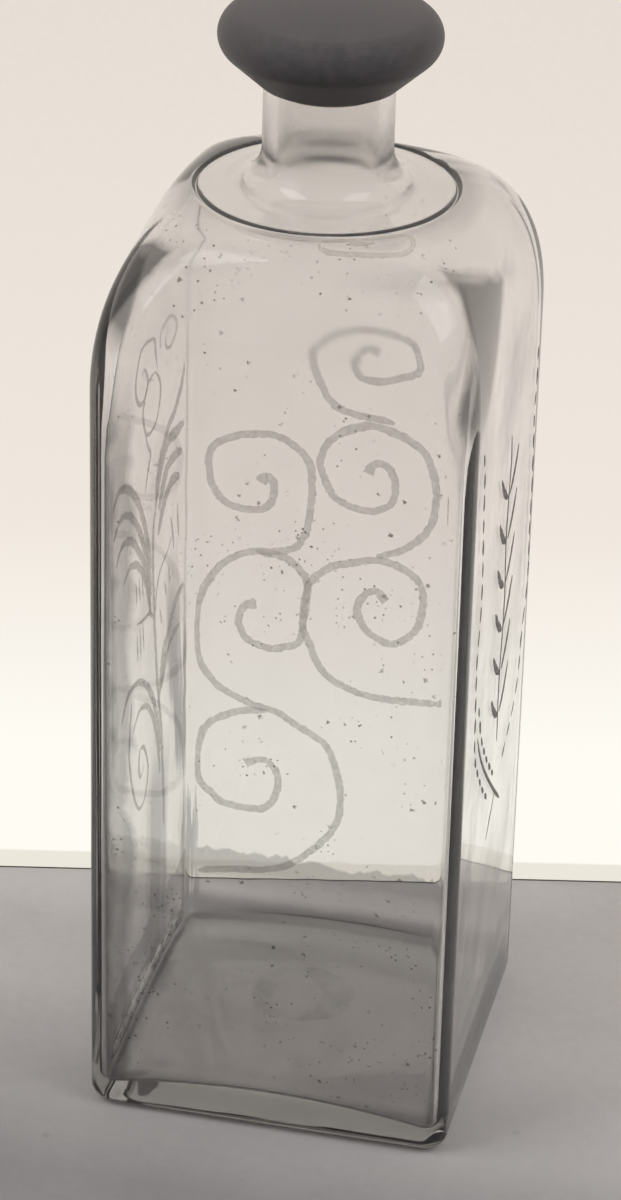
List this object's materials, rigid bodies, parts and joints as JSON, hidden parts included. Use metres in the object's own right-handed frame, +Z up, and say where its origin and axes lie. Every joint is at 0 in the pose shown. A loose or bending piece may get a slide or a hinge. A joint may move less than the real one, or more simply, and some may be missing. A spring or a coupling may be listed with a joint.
{
  "type": "bitters bottle",
  "caption": "Tall square case bottle of clear blown glass with rounded shoulders, a short round neck and a dark turned stopper that lifts and turns.",
  "frame": {"origin": "middle of the base, on the surface that the bottle stands on", "axes": "+Z up the neck; the face with the scrolls is towards +Y, the one with the flower spray towards -X and the bordered one towards +X; the face towards -Y is plain"},
  "size_m": [0.092, 0.092, 0.2817],
  "materials": {
    "clear_glass": "clear blown glass with a faint warm grey tint, fine bubbles and a frosted wheel engraving",
    "washer_leather": "plain tanned leather, pressed flat",
    "blackened_wood": "turned wood, blackened and polished to a soft gloss",
    "cork": "natural cork with small dark pits",
    "plain_wood": "plain close-grained dowel"
  },
  "bodies": {
    "bottle": {"glass_bottle": "clear_glass"},
    "washer": {"lip_washer": "washer_leather"},
    "stopper": {"stopper_knob": "blackened_wood", "stopper_cork": "cork", "stopper_dowel": "plain_wood"}
  },
  "joints": [
    {"name": "stopper_lift", "type": "slide", "parent": "bottle", "child": "washer", "axis": [0, 0, 1], "range_m": [0, 0.04]},
    {"name": "stopper_turn", "type": "hinge", "parent": "washer", "child": "stopper", "pos_m": [0, 0, 0.2755], "axis": [0, 0, 1], "continuous": true}
  ]
}
